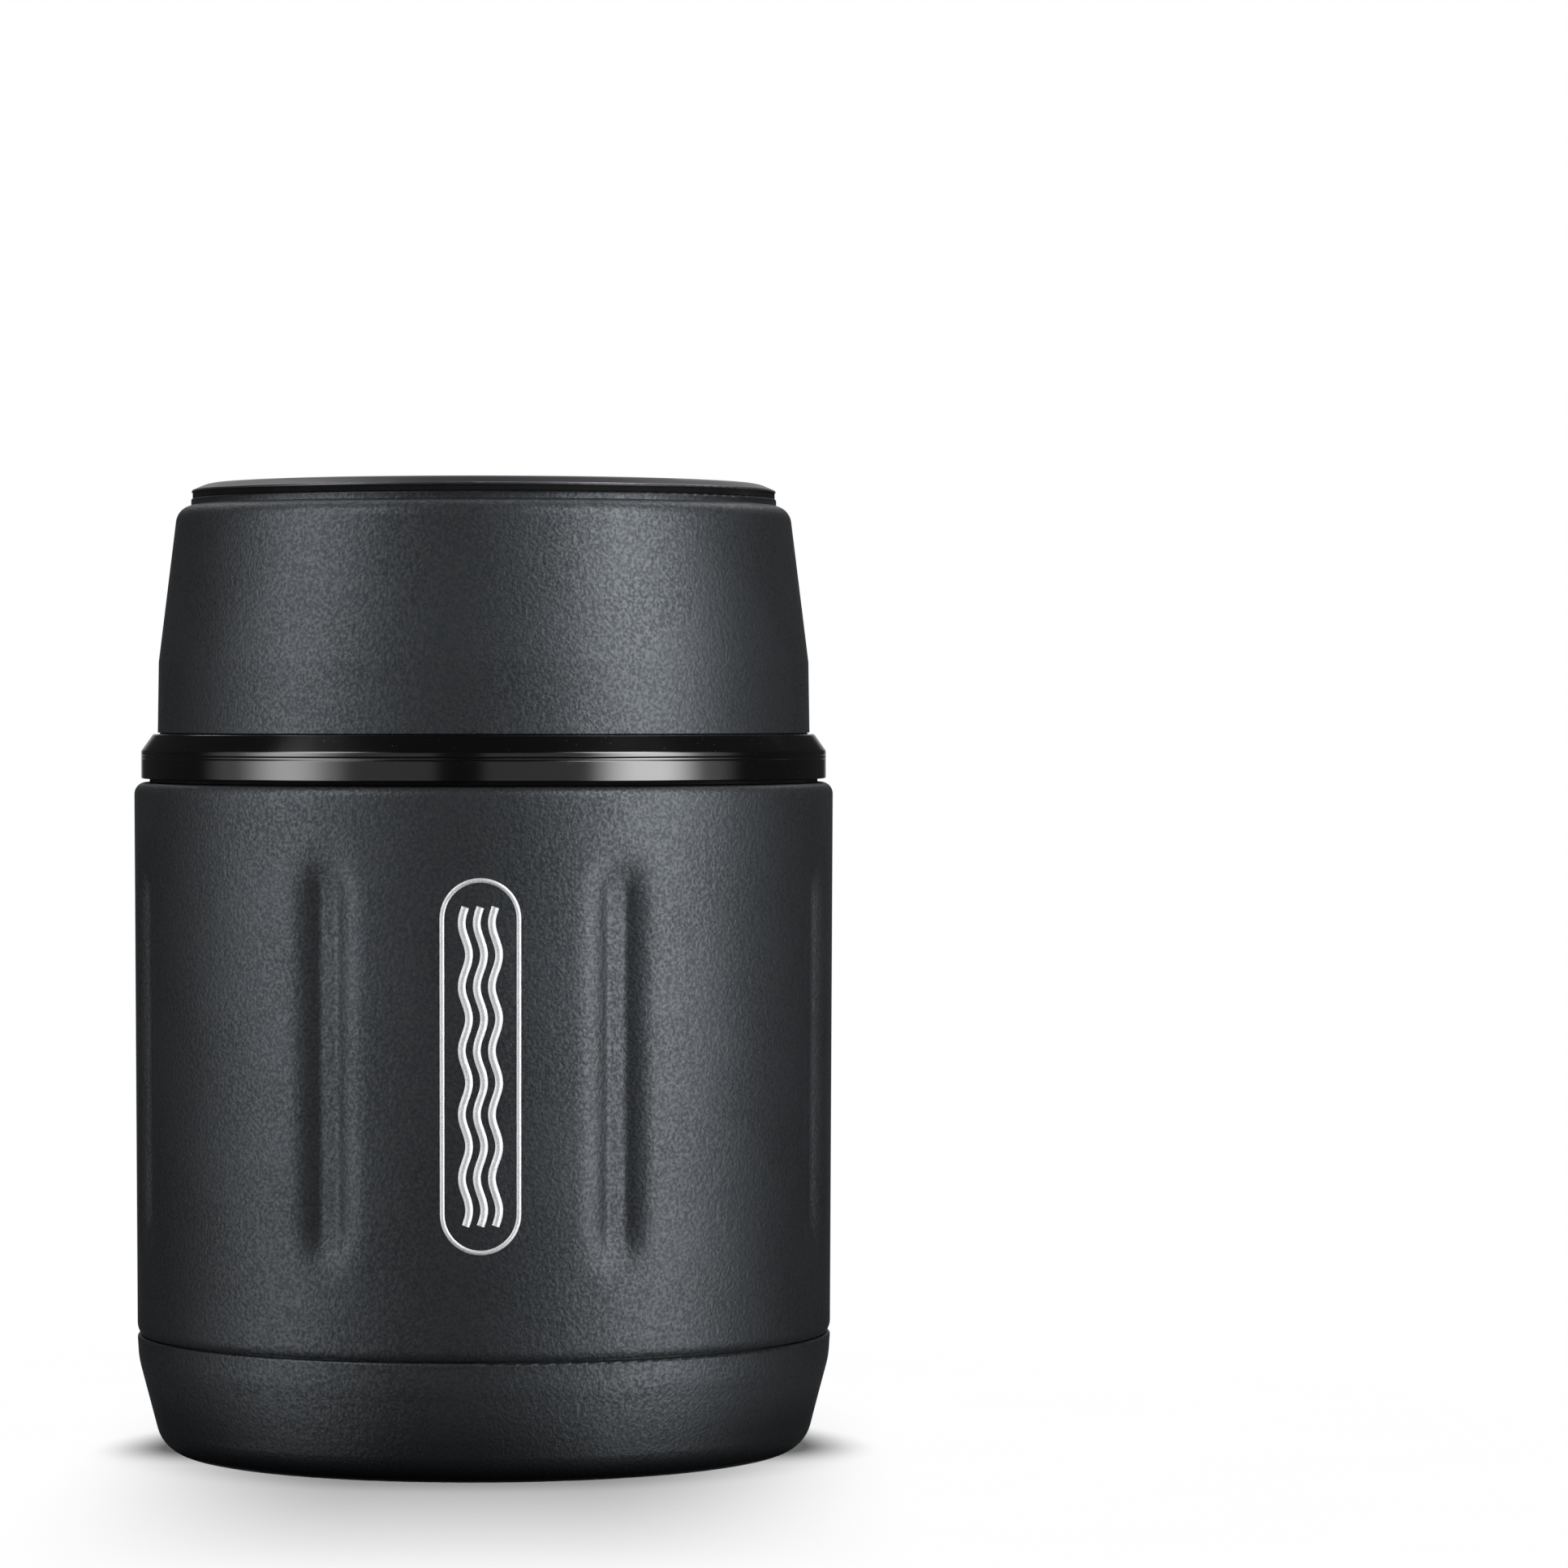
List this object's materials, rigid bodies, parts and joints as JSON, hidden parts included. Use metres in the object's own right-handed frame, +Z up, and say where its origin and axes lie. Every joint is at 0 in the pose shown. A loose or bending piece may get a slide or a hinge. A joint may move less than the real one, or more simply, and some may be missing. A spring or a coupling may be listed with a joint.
{
  "type": "insulated food jar",
  "caption": "Wide-mouth vacuum insulated food jar with fluted body, glossy collar, screw-on cup lid and threaded stopper with a push-button vent.",
  "frame": {"origin": "centre of the foot, on the surface the jar stands on", "axes": "+Z up along the jar's axis, -Y to the front, midway between two flutes"},
  "size_m": [0.1, 0.1, 0.1385],
  "materials": {
    "outer_shell": "hammer-finish powder coat, dark slate blue",
    "base_cup": "hammer-finish powder coat, dark slate blue",
    "base_cover": "brushed stainless steel",
    "vacuum_plug": "brushed stainless steel",
    "getter": "pressed powder tablet",
    "inner_vessel": "brushed stainless steel",
    "radiation_foil": "bright thin foil",
    "neck_collar": "polished black plastic",
    "collar_gasket": "matte rubber",
    "cap_shell": "hammer-finish powder coat, dark slate blue",
    "cap_liner": "satin black plastic",
    "cap_foam": "closed-cell foam",
    "cap_top_disc": "smooth satin dark plastic",
    "stopper_cover": "satin grey plastic",
    "stopper_body": "satin black plastic",
    "stopper_foam": "closed-cell foam",
    "stopper_gasket": "translucent grey silicone",
    "cover_seal": "translucent grey silicone",
    "vent_button": "satin black plastic",
    "button_ring": "translucent grey silicone",
    "vent_stem": "brushed stainless steel",
    "vent_seal": "translucent grey silicone",
    "vent_clip": "bright spring steel",
    "vent_guide": "satin grey plastic",
    "vent_spring": "bright spring steel"
  },
  "bodies": {
    "jar": {"outer_shell": "outer_shell", "base_cup": "base_cup", "base_cover": "base_cover", "vacuum_plug": "vacuum_plug", "getter": "getter", "inner_vessel": "inner_vessel", "radiation_foil": "radiation_foil", "neck_collar": "neck_collar", "collar_gasket": "collar_gasket"},
    "cap_core": {"cap_foam": "cap_foam"},
    "cap": {"cap_shell": "cap_shell", "cap_liner": "cap_liner", "cap_top_disc": "cap_top_disc"},
    "stopper_core": {"stopper_foam": "stopper_foam"},
    "stopper": {"stopper_cover": "stopper_cover", "stopper_body": "stopper_body", "stopper_gasket": "stopper_gasket", "cover_seal": "cover_seal", "vent_guide": "vent_guide", "vent_spring": "vent_spring"},
    "vent": {"vent_button": "vent_button", "button_ring": "button_ring", "vent_stem": "vent_stem", "vent_seal": "vent_seal", "vent_clip": "vent_clip"}
  },
  "joints": [
    {"name": "cap_rise", "type": "slide", "parent": "jar", "child": "cap_core", "axis": [0, 0, 1], "range_m": [0, 0.06]},
    {"name": "cap_turn", "type": "hinge", "parent": "cap_core", "child": "cap", "pos_m": [0, 0, 0.12], "axis": [0, 0, 1], "range_deg": [0, 1800]},
    {"name": "stopper_rise", "type": "slide", "parent": "jar", "child": "stopper_core", "axis": [0, 0, 1], "range_m": [0, 0.03]},
    {"name": "stopper_turn", "type": "hinge", "parent": "stopper_core", "child": "stopper", "pos_m": [0, 0, 0.11], "axis": [0, 0, 1], "range_deg": [0, 1350]},
    {"name": "vent_press", "type": "slide", "parent": "stopper", "child": "vent", "axis": [0, 0, -1], "range_m": [0, 0.0025], "stiffness_N_per_m": 600, "springref_m": -0.002, "deforming": ["vent_spring"]}
  ],
  "couplings": [
    {"joint": "cap_rise", "follows": "cap_turn", "m_per_rad": 0.0019099},
    {"joint": "stopper_rise", "follows": "cap_turn", "m_per_rad": 0.00095493},
    {"joint": "stopper_turn", "follows": "cap_turn", "ratio": 0.75}
  ]
}
